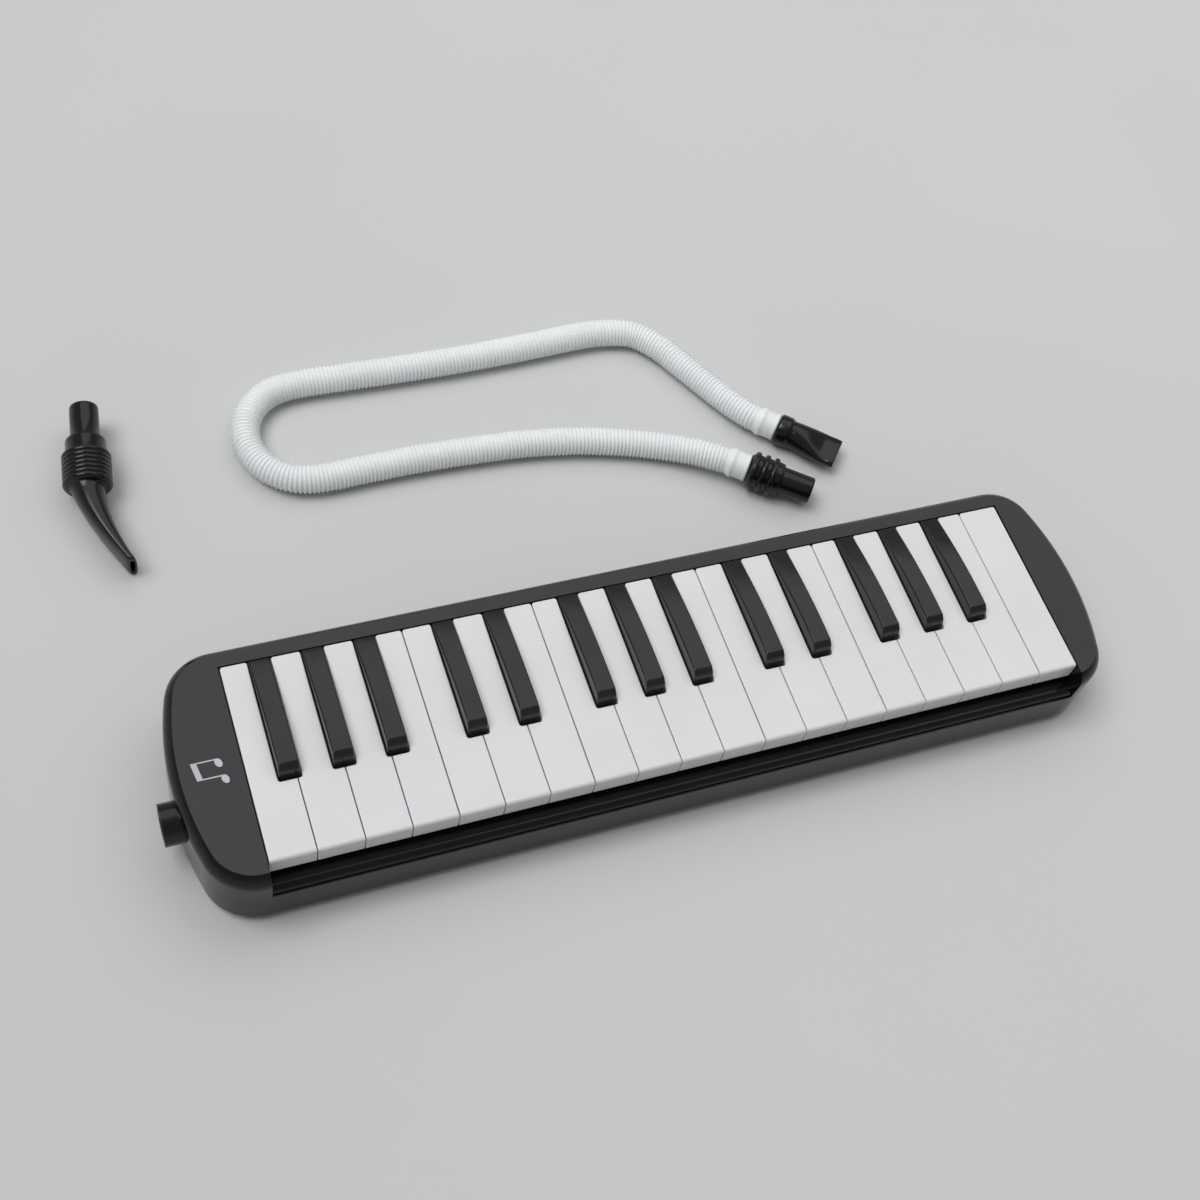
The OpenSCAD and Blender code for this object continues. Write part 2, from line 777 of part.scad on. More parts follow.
// A flat rounded lip, standing across X
module lip(x, half_w, half_t) {
    translate([x, 0, 0]) rotate([0, 90, 0]) linear_extrude(EPS)
        for (s = [-1, 1]) translate([0, s * (half_w - half_t)]) circle(half_t, $fn = 32);
}

module hose_mouthpiece() {
    collar = 8;
    color(GLOSS_BLACK) translate(route[len(route) - 1]) rotate([0, 0, mouthpiece_turn]) difference() {
        union() {
            rod_x(7.9, [0, collar], 0, 0);
            hull() {
                rod_x(7.1, [collar - 1, collar + 2], 0, 0);
                lip(collar + 14, 8.2, 3.6);
            }
            hull() {
                lip(collar + 14, 8.2, 3.6);
                lip(tip_len, 8.8, 2.4);
            }
        }
        rod_x(3, [2, collar + 12], 0, 0);
        block([collar + 8, -5.5, -0.9], [tip_len + 1, 5.5, 0.9]);
    }
}

// One section of the bill or of its passage: s runs from 0 at the collar to 1 at the tip
function bill_ring(s, root, tip, sides) =
    let (half_t = root + (tip[0] - root) * s, half_w = root + (tip[1] - root) * s)
    ring([bill_len * s, bill_bend * pow(s, bill_curl), 0], [0, half_t, 0], [0, 0, half_w], sides);

module bill() {
    steps = 10;
    skin([for (i = [0:steps]) bill_ring(i / steps, bill_root, bill_tip, 28)]);
}

module bill_passage() {
    steps = 10;
    over = 0.05;
    skin([for (i = [0:steps]) bill_ring((1 + over) * i / steps, bill_bore, bill_slot, 16)]);
}

module short_mouthpiece() {
    step_x = [short_plug - 1, short_plug + short_step[1]];
    collar_x = [step_x[1] - 1, step_x[1] + short_collar[1]];
    tilt = atan((short_collar[0] - bill_tip[1]) / bill_len);
    lift = collar_x[1] * sin(tilt) + short_collar[0] * cos(tilt);
    color(GLOSS_BLACK) translate([short_at[0], short_at[1], lift]) rotate([0, tilt, short_turn])
        difference() {
            union() {
                rod_x(plug_r, [0, step_x[0] + 1], 0, 0);
                rod_x(short_step[0], step_x, 0, 0);
                rod_x(short_collar[0], collar_x, 0, 0);
                translate([collar_x[1] - 0.5, 0, 0]) bill();
            }
            rod_x(breath_r, [-1, collar_x[1]], 0, 0);
            translate([collar_x[1] - 0.5, 0, 0]) bill_passage();
        }
}

// ---- Nodes ---------------------------------------------------------------------------------

lower_shell();
top_cover();
chassis();
key_rod();
key_springs();
stop_felts();
reed_gasket();
bass_reed_plate();
treble_reed_plate();
reeds();
reed_plate_screws();
chamber_cover();
chamber_gasket();
chamber_screws();
chassis_screws();
case_screws();
blow_socket();
socket_seal();
blow_duct();
drain_bush();
drain_button();
drain_spring();
drain_seal();
hose();
hose_connector();
hose_mouthpiece();
short_mouthpiece();
for (n = [0:KEYS - 1])
    key(n);
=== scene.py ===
import json
import math

import bmesh
import bpy
from mathutils import Matrix, Quaternion, Vector

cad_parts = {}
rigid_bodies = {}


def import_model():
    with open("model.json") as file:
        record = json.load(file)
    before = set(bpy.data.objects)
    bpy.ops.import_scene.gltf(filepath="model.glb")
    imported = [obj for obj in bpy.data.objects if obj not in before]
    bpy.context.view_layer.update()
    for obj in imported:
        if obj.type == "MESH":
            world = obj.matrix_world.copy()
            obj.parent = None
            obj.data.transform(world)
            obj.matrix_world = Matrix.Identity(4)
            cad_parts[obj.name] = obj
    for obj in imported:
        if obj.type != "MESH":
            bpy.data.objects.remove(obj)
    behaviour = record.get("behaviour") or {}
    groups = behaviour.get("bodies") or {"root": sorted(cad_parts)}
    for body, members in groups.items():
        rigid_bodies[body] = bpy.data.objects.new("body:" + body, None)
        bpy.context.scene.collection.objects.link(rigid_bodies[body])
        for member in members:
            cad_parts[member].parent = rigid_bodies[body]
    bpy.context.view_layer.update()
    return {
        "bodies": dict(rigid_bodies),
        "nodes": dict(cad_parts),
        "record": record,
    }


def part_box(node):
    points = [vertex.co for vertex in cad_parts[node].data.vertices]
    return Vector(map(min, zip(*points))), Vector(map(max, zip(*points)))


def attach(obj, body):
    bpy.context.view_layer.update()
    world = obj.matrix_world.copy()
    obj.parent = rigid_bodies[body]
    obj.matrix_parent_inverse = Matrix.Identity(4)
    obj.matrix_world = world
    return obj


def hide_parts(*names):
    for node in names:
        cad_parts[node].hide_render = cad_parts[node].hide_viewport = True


MM = 0.001
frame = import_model()

KEYS = sorted(n for n in frame["bodies"] if n.startswith("key_"))
BLACK_KEYS = [n for n in KEYS if "_sharp" in n]
WHITE_KEYS = [n for n in KEYS if n not in BLACK_KEYS]


# ---- Camera ------------------------------------------------------------------------------------

def add_camera():
    """Stands to the left in front of the bass end, looking down along the keys, rolled to the right."""
    data = bpy.data.cameras.new("camera")
    data.sensor_width = 36
    data.lens = 51.57
    data.clip_start = 0.01
    camera = bpy.data.objects.new("camera", data)
    bpy.context.scene.collection.objects.link(camera)
    camera.location = (-0.2431, -0.3038, 0.6812)
    looking = Vector((0.29926, 0.44878, -0.84204))
    roll = math.radians(17.42)
    camera.rotation_mode = "QUATERNION"
    camera.rotation_quaternion = looking.to_track_quat("-Z", "Y") @ Quaternion((0, 0, 1), roll)
    bpy.context.scene.camera = camera


add_camera()


# ---- Mesh helpers ------------------------------------------------------------------------------

def add_piece(name, mesh, material, body):
    """Puts a mesh in the scene, riding on a CAD body."""
    piece = bpy.data.objects.new(name, mesh)
    bpy.context.scene.collection.objects.link(piece)
    mesh.materials.clear()
    mesh.materials.append(material)
    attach(piece, body)
    return piece


def shade(mesh, angle):
    """Smooth shading, with a crisp edge wherever two faces meet at more than angle degrees."""
    mesh.shade_smooth()
    mesh.set_sharp_from_angle(angle=math.radians(angle))


def loft(name, rings, placed=None, angle=40):
    """A closed skin through rings with equal numbers of points; the first and last ring are capped."""
    verts = [placed @ Vector(p) if placed else Vector(p) for ring in rings for p in ring]
    sides = len(rings[0])
    faces = []
    for i in range(len(rings) - 1):
        for j in range(sides):
            k = (j + 1) % sides
            faces.append((i * sides + j, i * sides + k, (i + 1) * sides + k, (i + 1) * sides + j))
    faces.append(tuple(reversed(range(sides))))
    faces.append(tuple(range((len(rings) - 1) * sides, len(rings) * sides)))
    mesh = bpy.data.meshes.new(name)
    mesh.from_pydata(verts, [], faces)
    bm = bmesh.new()
    bm.from_mesh(mesh)
    bmesh.ops.recalc_face_normals(bm, faces=bm.faces)
    bm.to_mesh(mesh)
    bm.free()
    shade(mesh, angle)
    return mesh


def oval(x, half_y, half_z, sides, y=0.0, square=2.0):
    """A ring across X: square 2 is an ellipse, and more makes it a rounded box."""
    ring = []
    for j in range(sides):
        a = math.tau * j / sides
        c, s = math.cos(a), math.sin(a)
        v = half_y * math.copysign(abs(c) ** (2 / square), c)
        w = half_z * math.copysign(abs(s) ** (2 / square), s)
        ring.append((x, y + v, w))
    return ring


def turned(profile, sides):
    """Rings of a lathed shape: profile is a list of (distance along X, radius)."""
    return [oval(x, r, r, sides) for x, r in profile]


def rounded(x0, r0, x1, r1, bend, steps=4):
    """A quarter round from (x0, r0) to (x1, r1). bend is "out" for a convex edge, "in" for a fillet."""
    points = []
    for i in range(steps + 1):
        a = math.pi / 2 * i / steps
        if bend == "out":
            points.append((x0 + (x1 - x0) * (1 - math.cos(a)), r0 + (r1 - r0) * math.sin(a)))
        else:
            points.append((x0 + (x1 - x0) * math.sin(a), r0 + (r1 - r0) * (1 - math.cos(a))))
    return points


# ---- Materials ---------------------------------------------------------------------------------

class Nodes:
    """Short names for building a node tree."""

    def __init__(self, name):
        self.material = bpy.data.materials.new(name)
        self.material.use_nodes = True
        self.tree = self.material.node_tree
        self.shader = self.tree.nodes["Principled BSDF"]
        self.place = self.tree.nodes.new("ShaderNodeTexCoord").outputs["Object"]

    def link(self, a, b):
        self.tree.links.new(a, b)

    def set(self, **values):
        for name, value in values.items():
            self.shader.inputs[name.replace("_", " ")].default_value = value

    def noise(self, scale, detail=3.0, rough=0.55, stretch=(1, 1, 1)):
        """Noise with scale in features per metre."""
        mapping = self.tree.nodes.new("ShaderNodeMapping")
        mapping.inputs["Scale"].default_value = stretch
        self.link(self.place, mapping.inputs["Vector"])
        noise = self.tree.nodes.new("ShaderNodeTexNoise")
        noise.inputs["Scale"].default_value = scale
        noise.inputs["Detail"].default_value = detail
        noise.inputs["Roughness"].default_value = rough
        self.link(mapping.outputs["Vector"], noise.inputs["Vector"])
        return noise.outputs["Fac"]

    def ramp(self, value, low, high, out_low, out_high):
        """Turns low..high into out_low..out_high, and holds it there beyond."""
        node = self.tree.nodes.new("ShaderNodeMapRange")
        self.link(value, node.inputs["Value"])
        limits = {"From Min": low, "From Max": high, "To Min": out_low, "To Max": out_high}
        for name, number in limits.items():
            node.inputs[name].default_value = number
        return node.outputs["Result"]

    def mix(self, factor, a, b):
        """Colour a where factor is 0, b where it is 1. Each is a colour or a socket."""
        node = self.tree.nodes.new("ShaderNodeMix")
        node.data_type = "RGBA"
        self.link(factor, node.inputs["Factor"])
        for value, socket in ((a, node.inputs[6]), (b, node.inputs[7])):
            if hasattr(value, "links"):
                self.link(value, socket)
            else:
                socket.default_value = (*value, 1)
        return node.outputs[2]

    def math(self, kind, a, b):
        node = self.tree.nodes.new("ShaderNodeMath")
        node.operation = kind
        for value, socket in ((a, node.inputs[0]), (b, node.inputs[1])):
            if hasattr(value, "links"):
                self.link(value, socket)
            else:
                socket.default_value = value
        return node.outputs[0]

    def bump(self, height, depth, strength=1.0, under=None):
        """depth is the height in metres of a step from 0 to 1."""
        node = self.tree.nodes.new("ShaderNodeBump")
        node.inputs["Distance"].default_value = depth
        node.inputs["Strength"].default_value = strength
        self.link(height, node.inputs["Height"])
        if under:
            self.link(under, node.inputs["Normal"])
        return node.outputs["Normal"]

    def axis(self, name):
        """The place along X, Y or Z, in metres."""
        node = self.tree.nodes.new("ShaderNodeSeparateXYZ")
        self.link(self.place, node.inputs[0])
        return node.outputs[name]

    def finish(self, colour=None, roughness=None, normal=None):
        for socket, name in ((colour, "Base Color"), (roughness, "Roughness"), (normal, "Normal")):
            if socket:
                self.link(socket, self.shader.inputs[name])
        return self.material


def tint(colour, factor):
    """The colour, lighter where factor is over 1."""
    return tuple(min(1, c * factor) for c in colour)


def plastic(name, colour, gloss, wander=0.06, grain=900, depth=0.00002, ior=1.5):
    """Moulded plastic: a faint cloud in its colour, uneven gloss, and the grain of the mould."""
    n = Nodes(name)
    n.set(IOR=ior)
    cloud = n.noise(45, 4)
    fine = n.noise(grain, 3)
    colour = n.mix(n.ramp(cloud, 0.3, 0.7, 0, 1), tint(colour, 1 - wander), tint(colour, 1 + wander))
    rough = n.ramp(n.noise(160, 5, 0.65), 0.3, 0.7, gloss * 0.85, gloss * 1.2)
    return n.finish(colour, rough, n.bump(fine, depth))


def metal(name, colour, gloss, stretch=(1, 1, 1), scale=1500):
    """Rolled or turned metal with fine marks along it."""
    n = Nodes(name)
    n.set(Metallic=1.0)
    marks = n.noise(scale, 4, 0.6, stretch)
    colour = n.mix(n.ramp(n.noise(60), 0.3, 0.7, 0, 1), tint(colour, 0.9), tint(colour, 1.06))
    rough = n.ramp(marks, 0.3, 0.7, gloss * 0.75, gloss * 1.3)
    return n.finish(colour, rough, n.bump(marks, 0.00001))


PAD_COLOUR = (0.09, 0.05, 0.045)


def white_key_material(pad_top):
    """Satin white with a faint mould grain. The pad under the tail, below pad_top, is dark."""
    n = Nodes("key_white")
    n.set(IOR=1.49)
    cloud = n.ramp(n.noise(30, 5, 0.6), 0.3, 0.7, 0, 1)
    white = n.mix(cloud, (0.70, 0.70, 0.715), (0.735, 0.735, 0.745))
    is_pad = n.math("LESS_THAN", n.axis("Z"), pad_top)
    colour = n.mix(is_pad, white, PAD_COLOUR)
    scuffs = n.noise(420, 6, 0.7, (1, 0.35, 1))
    rough = n.ramp(scuffs, 0.35, 0.75, 0.30, 0.42)
    rough = n.math("MAXIMUM", rough, n.math("MULTIPLY", is_pad, 0.9))
    fine = n.bump(n.noise(1400, 2), 0.000012)
    return n.finish(colour, rough, n.bump(n.noise(90, 2), 0.00006, 0.5, fine))


def black_key_material(pad_top):
    """Polished black, slightly uneven in tone, with faint polishing marks in its gloss."""
    n = Nodes("key_black")
    n.set(IOR=1.42)
    cloud = n.ramp(n.noise(50, 5, 0.6), 0.35, 0.7, 0, 1)
    black = n.mix(cloud, (0.010, 0.0093, 0.0103), (0.017, 0.0155, 0.0172))
    is_pad = n.math("LESS_THAN", n.axis("Z"), pad_top)
    colour = n.mix(is_pad, black, PAD_COLOUR)
    rough = n.ramp(n.noise(260, 6, 0.7), 0.3, 0.75, 0.13, 0.24)
    rough = n.math("MAXIMUM", rough, n.math("MULTIPLY", is_pad, 0.9))
    fine = n.bump(n.noise(1100, 3), 0.000008)
    return n.finish(colour, rough, n.bump(n.noise(70, 2), 0.00008, 0.4, fine))


def cover_material(top):
    """Matt grained grey on the flat top, polished black on the shoulder round it."""
    n = Nodes("cover")
    n.set(IOR=1.38)
    is_top = n.math("GREATER_THAN", n.axis("Z"), top - 0.00006)
    cloud = n.ramp(n.noise(35, 4), 0.3, 0.7, 0, 1)
    speck = n.ramp(n.noise(2600, 2), 0.35, 0.65, 0, 1)
    grey = n.mix(cloud, (0.027, 0.0255, 0.029), (0.033, 0.031, 0.0345))
    grey = n.mix(n.math("MULTIPLY", speck, 0.5), grey, (0.062, 0.058, 0.064))
    colour = n.mix(is_top, (0.005, 0.005, 0.0055), grey)
    gloss = n.ramp(n.noise(220, 5, 0.7), 0.3, 0.7, 0.10, 0.18)
    matt = n.ramp(n.noise(500, 4), 0.3, 0.7, 0.50, 0.62)
    rough = n.math("ADD", n.math("MULTIPLY", is_top, matt),
                   n.math("MULTIPLY", n.math("SUBTRACT", 1.0, is_top), gloss))
    grain = n.math("MULTIPLY", n.noise(1500, 3, 0.6), is_top)
    return n.finish(colour, rough, n.bump(grain, 0.00016))


def hose_material():
    """Soft milky plastic, a little darker and cooler in patches."""
    n = Nodes("hose_white")
    n.set(IOR=1.46, Subsurface_Weight=0.12, Subsurface_Radius=(0.003, 0.003, 0.0032), Subsurface_Scale=1.0)
    cloud = n.ramp(n.noise(55, 4), 0.3, 0.7, 0, 1)
    colour = n.mix(cloud, (0.80, 0.825, 0.83), (0.85, 0.87, 0.87))
    rough = n.ramp(n.noise(400, 4), 0.3, 0.7, 0.36, 0.50)
    return n.finish(colour, rough, n.bump(n.noise(1500, 2), 0.00001))


def felt_material():
    """Dense dark felt with short fibres."""
    n = Nodes("felt")
    n.set(Sheen_Weight=0.6, Sheen_Roughness=0.5)
    fibres = n.noise(2600, 6, 0.7, (1, 0.3, 1))
    colour = n.mix(n.ramp(fibres, 0.3, 0.7, 0, 1), (0.010, 0.009, 0.010), (0.030, 0.027, 0.030))
    return n.finish(colour, n.ramp(fibres, 0, 1, 0.85, 1.0), n.bump(fibres, 0.0003))


# Heights of the pads' upper faces and of the cover, and how far back the white keys' tails reach
PAD_TOP = 0.0265
COVER_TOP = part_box("top_cover")[1].z
KEY_TAIL = 0.0437

# One material for each slot of the record
MATERIALS = {
    "white_keys": white_key_material(PAD_TOP),
    "black_keys": black_key_material(PAD_TOP),
    "cover": cover_material(COVER_TOP),
    "shell": plastic("shell_black", (0.005, 0.005, 0.0055), 0.12, wander=0.15, depth=0.000008, ior=1.33),
    "fittings": plastic("fitting_black", (0.006, 0.006, 0.0065), 0.20, wander=0.15, depth=0.00001, ior=1.4),
    "mouthpiece": plastic("mouthpiece_black", (0.006, 0.006, 0.0065), 0.18, wander=0.2, depth=0.00001,
                          ior=1.42),
    "hose": hose_material(),
    "chassis": plastic("chassis_grey", (0.045, 0.045, 0.05), 0.5, depth=0.00004),
    "chamber": plastic("chamber_grey", (0.07, 0.07, 0.075), 0.45, depth=0.00004),
    "duct": plastic("duct_rubber", (0.03, 0.03, 0.03), 0.75, grain=600, depth=0.00006),
    "seal_rubber": plastic("seal_rubber", (0.025, 0.025, 0.025), 0.7, grain=1200, depth=0.00004),
    "felt": felt_material(),
    "steel": metal("steel", (0.56, 0.56, 0.57), 0.28, (0.05, 1, 1)),
    "spring_steel": metal("spring_steel", (0.42, 0.42, 0.44), 0.35),
    "reed_plate": metal("reed_plate", (0.72, 0.72, 0.73), 0.4, (0.05, 1, 1)),
    "reed_brass": metal("reed_brass", (0.72, 0.52, 0.22), 0.3, (1, 0.05, 1)),
}
PRINT = plastic("printed_grey", (0.50, 0.50, 0.52), 0.5)


# ---- Hose --------------------------------------------------------------------------------------

# From the plug to the mouthpiece, along the middle of the hose
HOSE_ROUTE = [
    (0.093, 0.109, 0.010), (0.083, 0.1165, 0.010), (0.072, 0.124, 0.0091), (0.060, 0.1305, 0.0078),
    (0.047, 0.136, 0.0071), (0.033, 0.1405, 0.007), (0.012, 0.1455, 0.007), (-0.013, 0.149, 0.007),
    (-0.040, 0.1505, 0.007), (-0.065, 0.151, 0.007), (-0.090, 0.1505, 0.007), (-0.113, 0.150, 0.007),
    (-0.127, 0.1538, 0.007), (-0.1372, 0.164, 0.007), (-0.141, 0.178, 0.007), (-0.1372, 0.192, 0.007),
    (-0.127, 0.2022, 0.007), (-0.113, 0.206, 0.007), (-0.085, 0.206, 0.007), (-0.055, 0.2055, 0.007),
    (-0.025, 0.2055, 0.007), (0.005, 0.2065, 0.007), (0.035, 0.208, 0.007), (0.050, 0.2075, 0.007),
    (0.065, 0.2035, 0.007), (0.076, 0.1925, 0.007), (0.0835, 0.180, 0.007), (0.092, 0.165, 0.007),
    (0.100, 0.151, 0.0074), (0.108, 0.1395, 0.008), (0.118, 0.1305, 0.008),
]
HOSE_R = 0.007
HOSE_SIDES = 48
# Steps from one point of the route to the next
SPAN_STEPS = 40
RIB_PITCH = 0.0019
RIB_DEPTH = 0.0009
# How deep each ring of one rib lies: 1 is the bottom of the groove
RIB = (1.0, 0.86, 0.4, 0.05, 0.05, 0.4, 0.86)
# Length of the smooth cuff at each end, and the rings in it
CUFF = 0.0135
CUFF_RINGS = 45
# The line along the hose takes the middle of every 25th ring
PATH_EVERY = 25
# Which way the plug and the mouthpiece point, in degrees
CONNECTOR_TURN = -37
MOUTHPIECE_TURN = -42

# Where the short mouthpiece's plug ends on the table, in mm, and which way it points, in degrees
SHORT_AT = (-210.5, 207)
SHORT_TURN = -98


def smooth_path(points):
    """Dense points along a Catmull-Rom curve through the given ones, and how far along each is."""
    pts = [Vector(p) for p in points]
    pts = [2 * pts[0] - pts[1]] + pts + [2 * pts[-1] - pts[-2]]
    dense = []
    for i in range(1, len(pts) - 2):
        a, b, c, d = pts[i - 1:i + 3]
        for k in range(SPAN_STEPS):
            t = k / SPAN_STEPS
            dense.append(0.5 * (2 * b + (c - a) * t + (2 * a - 5 * b + 4 * c - d) * t ** 2
                                + (3 * b - a - 3 * c + d) * t ** 3))
    dense.append(pts[-2])
    along = [0.0]
    for a, b in zip(dense, dense[1:]):
        along.append(along[-1] + (b - a).length)
    return dense, along


def points_along(dense, along, places):
    """The points at the given distances along a dense path. The distances only grow."""
    out = []
    i = 0
    for s in places:
        while i < len(dense) - 2 and along[i + 1] < s:
            i += 1
        out.append(dense[i].lerp(dense[i + 1], (s - along[i]) / (along[i + 1] - along[i])))
    return out


def cuff_radius(d):
    """Radius of the hose's smooth end, d from its tip: a rolled lip, a sleeve, a raised ring, a neck."""
    sleeve = HOSE_R - 0.0003
    ring = 0.00065 * math.exp(-((d - 0.0085) / 0.0012) ** 2)
    neck = -0.0005 * math.exp(-((d - 0.0115) / 0.001) ** 2)
    lip = 0.0002 * math.exp(-((d - 0.0012) / 0.0008) ** 2)
    tip = -0.0009 * max(0.0, 1 - d / 0.0006) ** 2
    return sleeve + ring + neck + lip + tip


def hose_rings(length):
    """(distance along, radius) for each ring of the hose's skin: a cuff, whole ribs, a cuff."""
    cuff = [(CUFF * i / CUFF_RINGS, cuff_radius(CUFF * i / CUFF_RINGS)) for i in range(CUFF_RINGS)]
    ribs = round((length - 2 * CUFF) / RIB_PITCH)
    pitch = (length - 2 * CUFF) / ribs
    rings = list(cuff)
    for k in range(ribs * len(RIB) + 1):
        rings.append((CUFF + pitch * k / len(RIB), HOSE_R - RIB_DEPTH * RIB[k % len(RIB)]))
    return rings + [(length - s, r) for s, r in reversed(cuff)]


def add_hose():
    """The ribbed tube. Returns it with the line it follows and its length."""
    dense, along = smooth_path(HOSE_ROUTE)
    length = along[-1]
    skin = hose_rings(length)
    path = points_along(dense, along, [s for s, r in skin])
    angles = [math.tau * j / HOSE_SIDES for j in range(HOSE_SIDES)]
    rings = []
    for i, (p, (s, r)) in enumerate(zip(path, skin)):
        ahead = (path[min(i + 1, len(path) - 1)] - path[max(i - 1, 0)]).normalized()
        u = Vector((0, 0, 1)).cross(ahead).normalized()
        v = ahead.cross(u)
        rings.append([p + r * (u * math.cos(a) + v * math.sin(a)) for a in angles])
    hose = add_piece("corrugated_hose", loft("corrugated_hose", rings, angle=80), MATERIALS["hose"],
                     "blow_hose")
    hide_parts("hose")
    return hose, path[::PATH_EVERY] + [path[-1]], length


def pointing(at, turn, tilt=0.0):
    """Places a piece made along +X."""
    return Matrix.Translation(at) @ Matrix.Rotation(turn, 4, "Z") @ Matrix.Rotation(tilt, 4, "Y")


def mm(profile):
    """A profile that is written in millimetres, in metres."""
    return [(x * MM, r * MM) for x, r in profile]


def add_connector():
    """Ribbed plug that pushes into the instrument's socket."""
    profile = [(2, 4.0), (0.0, 4.2), (-0.3, 5.2), (-0.3, 6.3)]
    profile += rounded(-0.3, 6.6, 0.2, 7.1, "out", 3)
    for x in (1.0, 5.8, 10.6):
        profile += [(x, 8.1)]
        profile += rounded(x + 0.3, 8.35, x + 1.35, 9.5, "out")
        profile += [(x + 2.0, 9.5)]
        profile += [(x + 2.0 + 1.05 * math.sin(a), 8.35 + 1.15 * math.cos(a)) for a in (0.4, 0.8, 1.2, 1.57)]
    profile += [(14.6, 8.2), (16.2, 8.1), (16.8, 7.8), (17.1, 7.2), (17.3, 6.85)]
    profile += [(20, 6.8), (26, 6.72), (31.5, 6.66)]
    profile += [(32.2, 6.6), (32.7, 6.4), (33.0, 6.0), (33.0, 4.7)]
    profile += [(32.7, 4.35), (32.0, 4.2), (18, 4.2), (17, 3.9)]
    placed = pointing(HOSE_ROUTE[0], math.radians(CONNECTOR_TURN))
    mesh = loft("ribbed_connector", turned(mm(profile), 64), placed)
    piece = add_piece("ribbed_connector", mesh, MATERIALS["mouthpiece"], "blow_hose")
    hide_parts("hose_connector")
    return piece


def add_hose_mouthpiece():
    """Collar and a wide flat bill with a slot in its tip."""
    sides = 72
    rings = turned(mm([(-0.3, 5.0), (-0.3, 6.5), (0.0, 7.2), (0.4, 7.6), (1.0, 7.85), (1.8, 7.9),
                       (5.2, 7.9), (6.0, 7.8), (6.6, 7.5), (7.0, 7.15), (7.6, 7.0)]), sides)
    for i in range(25):
        t = i / 24
        x = 8.2 + 24.2 * t
        ease = t * t * (3 - 2 * t)
        wide = 7.0 + 1.8 * min(1, t * 1.5)
        thick = 7.0 - 4.7 * min(1, ease * 1.25) + 0.25 * math.exp(-((t - 0.93) / 0.05) ** 2)
        rings.append(oval(x * MM, wide * MM, thick * MM, sides, square=2 + 1.4 * ease))
    tip = [(32.75, 8.7, 2.2), (32.95, 8.4, 1.9), (33.0, 7.6, 1.5)]
    slot = [(33.0, 6.0, 1.15), (32.7, 5.6, 0.95), (32.0, 5.5, 0.9), (26, 5.0, 0.9), (25, 4.0, 0.6)]
    for x, wide, thick in tip + slot:
        rings.append(oval(x * MM, wide * MM, thick * MM, sides, square=3.4))
    placed = pointing(HOSE_ROUTE[-1], math.radians(MOUTHPIECE_TURN))
    mesh = loft("flat_mouthpiece", rings, placed)
    piece = add_piece("flat_mouthpiece", mesh, MATERIALS["mouthpiece"], "blow_hose")
    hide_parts("hose_mouthpiece")
    return piece


def add_short_mouthpiece():
    """Plug, step, ribbed collar and a bill that tapers and bends to one side."""
    sides = 72
    profile = [(12, 3.9), (0.8, 4.3), (0.2, 4.7), (0.0, 5.2), (0.0, 6.0), (0.3, 6.4), (0.9, 6.6), (2, 6.65)]
    profile += [(8, 6.7), (17.8, 6.75), (18.3, 7.0), (18.5, 8.4), (18.7, 8.9), (19.2, 9.15), (19.7, 9.25)]
    profile += [(25.9, 9.25), (26.3, 9.4), (26.5, 10.1), (26.7, 10.6)]
    for i in range(7):
        x = 26.9 + 2.3 * i
        profile += [(x, 10.95), (x + 0.35, 11.15), (x + 0.9, 11.2)]
        profile += [(x + 1.5, 11.15), (x + 1.8, 10.95), (x + 2.05, 10.7)]
    profile += [(43.1, 10.4), (43.4, 10.1), (43.5, 9.4), (43.6, 8.6), (43.9, 8.05)]
    rings = turned(mm(profile), sides)
    root, tip_t, tip_w, bend, length, start = 7.8, 2.1, 8.0, 17.5, 42.5, 43.0

    def section(s, half_t, half_w):
        """A ring of the bill: s runs from 0 at the collar to 1 at the tip."""
        x = start + length * s
        y = bend * s ** 1.5
        rings.append(oval(x * MM, half_t * MM, half_w * MM, sides, y=y * MM, square=2 + 0.9 * s))

    for i in range(1, 33):
        s = 0.03 + 0.955 * i / 32
        bead = 0.2 * math.exp(-((s - 0.95) / 0.03) ** 2)
        section(s, root + (tip_t - root) * s + bead, root + (tip_w - root) * s)
    tip = [(0.996, 1.95, 7.7), (1.0, 1.6, 7.2)]
    slot = [(1.0, 1.1, 5.6), (0.99, 0.9, 5.1), (0.97, 0.85, 5.0), (0.85, 0.8, 4.6), (0.83, 0.5, 3.6)]
    for s, half_t, half_w in tip + slot:
        section(s, half_t, half_w)
    collar_end, collar_r = 43.5, 11.2
    tilt = math.atan((collar_r - tip_w) / length)
    lift = collar_end * math.sin(tilt) + collar_r * math.cos(tilt)
    placed = pointing((SHORT_AT[0] * MM, SHORT_AT[1] * MM, lift * MM), math.radians(SHORT_TURN), tilt)
    mesh = loft("curved_mouthpiece", rings, placed)
    piece = add_piece("curved_mouthpiece", mesh, MATERIALS["mouthpiece"], "loose_mouthpiece")
    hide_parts("short_mouthpiece")


hose, hose_line, hose_length = add_hose()
add_connector()
add_hose_mouthpiece()
add_short_mouthpiece()


# ---- Keys: the CAD shapes with their edges rounded ----------------------------------------------

# How close counts as the same place, in metres
NEAR = 1e-5


def round_edges(bm, width, segments, choose):
    """Rounds the sharp edges for which choose(one end, other end, edge) is true."""
    sharp = [e for e in bm.edges if e.is_manifold and e.calc_face_angle() > math.radians(12)]
    edges = [e for e in sharp if choose(*(v.co for v in e.verts), e)]
    bmesh.ops.bevel(bm, geom=edges, offset=width, segments=segments, profile=0.5, affect="EDGES",
                    clamp_overlap=False, harden_normals=False)


